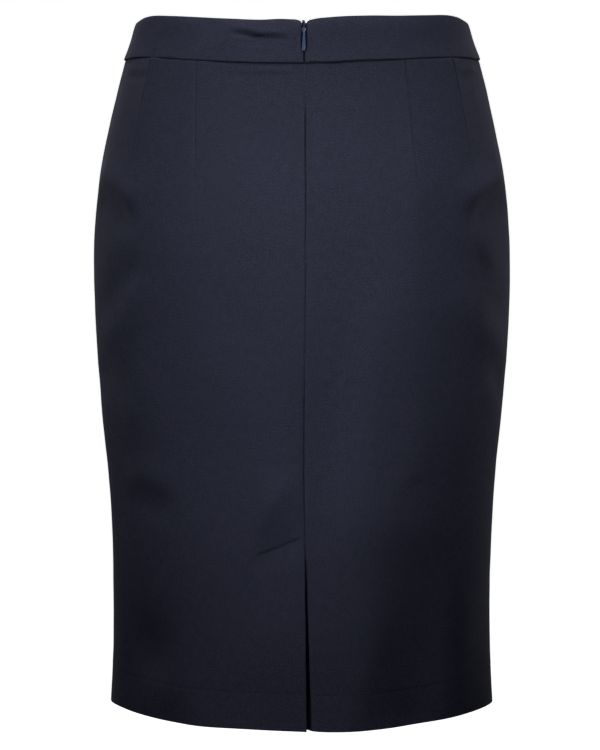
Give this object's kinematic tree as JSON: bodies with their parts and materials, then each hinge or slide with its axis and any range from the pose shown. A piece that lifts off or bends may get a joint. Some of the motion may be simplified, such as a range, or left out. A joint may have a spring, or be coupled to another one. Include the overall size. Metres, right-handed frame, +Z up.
{
  "type": "pencil skirt garment",
  "caption": "Worn, hollow knee-length pencil skirt with contoured waistband, back zip with hanging pull tab, waist darts and lapped back vent.",
  "frame": {"origin": "middle of the waist opening, level with the waistband's top edge at the centre back, where the wearer's waist holds the skirt", "axes": "+Z up out of the waist, +Y out of the back (the zip and vent side), +X towards the wearer's left"},
  "size_m": [0.3594, 0.2379, 0.6004],
  "materials": {
    "suiting": "fine plain suiting with a faint sheen",
    "zip_tape": "close woven tape",
    "zip_metal": "satin blue lacquer"
  },
  "bodies": {
    "skirt": {"front_panel": "suiting", "back_panel_left": "suiting", "back_panel_right": "suiting", "waistband_front": "suiting", "waistband_back_left": "suiting", "waistband_back_right": "suiting", "zip_tape_left": "zip_tape", "zip_tape_right": "zip_tape", "zip_slider": "zip_metal"},
    "pull": {"zip_pull": "zip_metal"}
  },
  "joints": [
    {"name": "pull_swing", "type": "hinge", "parent": "skirt", "child": "pull", "pos_m": [-0.00264, 0.09544, -0.00672], "axis": [1, 0, 0], "range_deg": [0, 160]}
  ]
}
